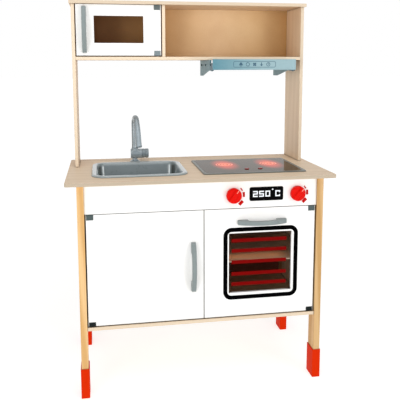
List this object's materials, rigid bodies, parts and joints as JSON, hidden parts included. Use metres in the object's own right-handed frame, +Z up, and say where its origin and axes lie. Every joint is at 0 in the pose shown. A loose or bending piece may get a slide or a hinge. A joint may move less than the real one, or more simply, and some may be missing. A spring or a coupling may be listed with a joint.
{
  "type": "toy kitchen",
  "caption": "Child's wooden play kitchen with sink and swivel tap, hob, cupboard, oven, microwave, hood, turning knobs and hinged doors on a legged stand.",
  "frame": {"origin": "on the floor under the middle of the worktop", "axes": "+X to the right seen from the front, +Y to the back, +Z up"},
  "size_m": [0.7, 0.372, 1.0345],
  "materials": {
    "worktop_wood": "satin birch-faced board",
    "leg_wood": "satin solid pine",
    "foot_plastic": "satin",
    "board_wood": "satin birch-faced board",
    "hardboard": "matt",
    "white_board": "satin white melamine on board",
    "display_black": "gloss",
    "display_white": "gloss print",
    "red_print": "satin print",
    "black_print": "satin print",
    "knob_plastic": "satin",
    "screw_steel": "zinc plated",
    "handle_plastic": "satin silver-grey",
    "clip_dark": "satin",
    "clip_grey": "satin",
    "pane_clear": "clear acrylic, slightly tinted",
    "hood_blue": "satin",
    "hood_grey": "satin",
    "tap_plastic": "satin silver-grey",
    "sink_plastic": "satin grey",
    "hob_plastic": "satin silver-grey",
    "hob_glass": "high gloss",
    "burner_glow": "lit",
    "button_red": "gloss",
    "circuit_green": "satin",
    "battery_steel": "printed sleeve"
  },
  "bodies": {
    "frame": {"worktop": "worktop_wood", "leg_front_left": "leg_wood", "leg_front_right": "leg_wood", "leg_back_left": "leg_wood", "leg_back_right": "leg_wood", "foot_front_left": "foot_plastic", "foot_front_right": "foot_plastic", "foot_back_left": "foot_plastic", "foot_back_right": "foot_plastic", "side_panel_left": "board_wood", "side_panel_right": "board_wood", "base_board": "board_wood", "cabinet_divider": "board_wood", "cabinet_back": "hardboard", "control_panel": "white_board", "oven_shelf": "board_wood", "display_plate": "display_black", "display_digits": "display_white", "heat_marks": "red_print", "upper_panel_left": "board_wood", "upper_panel_right": "board_wood", "top_board": "board_wood", "upper_shelf": "board_wood", "upper_divider": "board_wood", "upper_back": "hardboard", "hood_front": "hood_blue", "hood_brackets": "hood_grey", "tap_body": "tap_plastic", "tap_nut": "tap_plastic", "hob_tray": "hob_plastic", "hob_glass": "hob_glass", "burner_lights": "burner_glow", "light_board": "circuit_green", "battery_cover": "hob_plastic", "batteries": "battery_steel", "frame_screws": "screw_steel"},
    "cupboard_door": {"cupboard_door": "white_board", "cupboard_handle": "handle_plastic", "cupboard_hinge_clips": "clip_dark", "cupboard_door_screws": "screw_steel"},
    "oven_door": {"oven_door": "white_board", "oven_handle": "handle_plastic", "oven_hinge_clips": "clip_dark", "oven_door_screws": "screw_steel", "oven_pane": "pane_clear", "oven_pane_stripes": "red_print", "oven_frame_print": "black_print"},
    "microwave_door": {"microwave_door": "white_board", "microwave_handle": "handle_plastic", "microwave_hinge_clips": "clip_grey", "microwave_door_screws": "screw_steel"},
    "knob_left": {"knob_left": "knob_plastic", "knob_screw_left": "screw_steel"},
    "knob_right": {"knob_right": "knob_plastic", "knob_screw_right": "screw_steel"},
    "tap_spout": {"tap_spout": "tap_plastic"},
    "tap_lever": {"tap_lever": "tap_plastic"},
    "sink": {"sink_basin": "sink_plastic"},
    "hob_button_left": {"hob_button_left": "button_red"},
    "hob_button_right": {"hob_button_right": "button_red"}
  },
  "joints": [
    {"name": "cupboard_door_hinge", "type": "hinge", "parent": "frame", "child": "cupboard_door", "pos_m": [-0.29125, -0.1545, 0.339], "axis": [0, 0, -1], "range_deg": [0, 110]},
    {"name": "oven_door_hinge", "type": "hinge", "parent": "frame", "child": "oven_door", "pos_m": [0.29125, -0.1545, 0.339], "axis": [0, 0, 1], "range_deg": [0, 110]},
    {"name": "microwave_door_hinge", "type": "hinge", "parent": "frame", "child": "microwave_door", "pos_m": [-0.09675, 0.051, 0.954], "axis": [0, 0, 1], "range_deg": [0, 110]},
    {"name": "knob_left_turn", "type": "hinge", "parent": "frame", "child": "knob_left", "pos_m": [0.0779, -0.1593, 0.522], "axis": [0, -1, 0], "continuous": true},
    {"name": "knob_right_turn", "type": "hinge", "parent": "frame", "child": "knob_right", "pos_m": [0.251, -0.1593, 0.522], "axis": [0, -1, 0], "continuous": true},
    {"name": "tap_spout_swivel", "type": "hinge", "parent": "frame", "child": "tap_spout", "pos_m": [-0.1605, 0.124, 0.614], "axis": [0, 0, 1], "range_deg": [-80, 80]},
    {"name": "tap_lever_turn", "type": "hinge", "parent": "frame", "child": "tap_lever", "pos_m": [-0.1395, 0.124, 0.597], "axis": [1, 0, 0], "range_deg": [0, 90]},
    {"name": "sink_lift", "type": "slide", "parent": "frame", "child": "sink", "axis": [0, 0, 1], "range_m": [0, 0.04]},
    {"name": "hob_button_left_press", "type": "slide", "parent": "frame", "child": "hob_button_left", "axis": [0, 0, -1], "range_m": [0, 0.0015], "stiffness_N_per_m": 300},
    {"name": "hob_button_right_press", "type": "slide", "parent": "frame", "child": "hob_button_right", "axis": [0, 0, -1], "range_m": [0, 0.0015], "stiffness_N_per_m": 300}
  ]
}
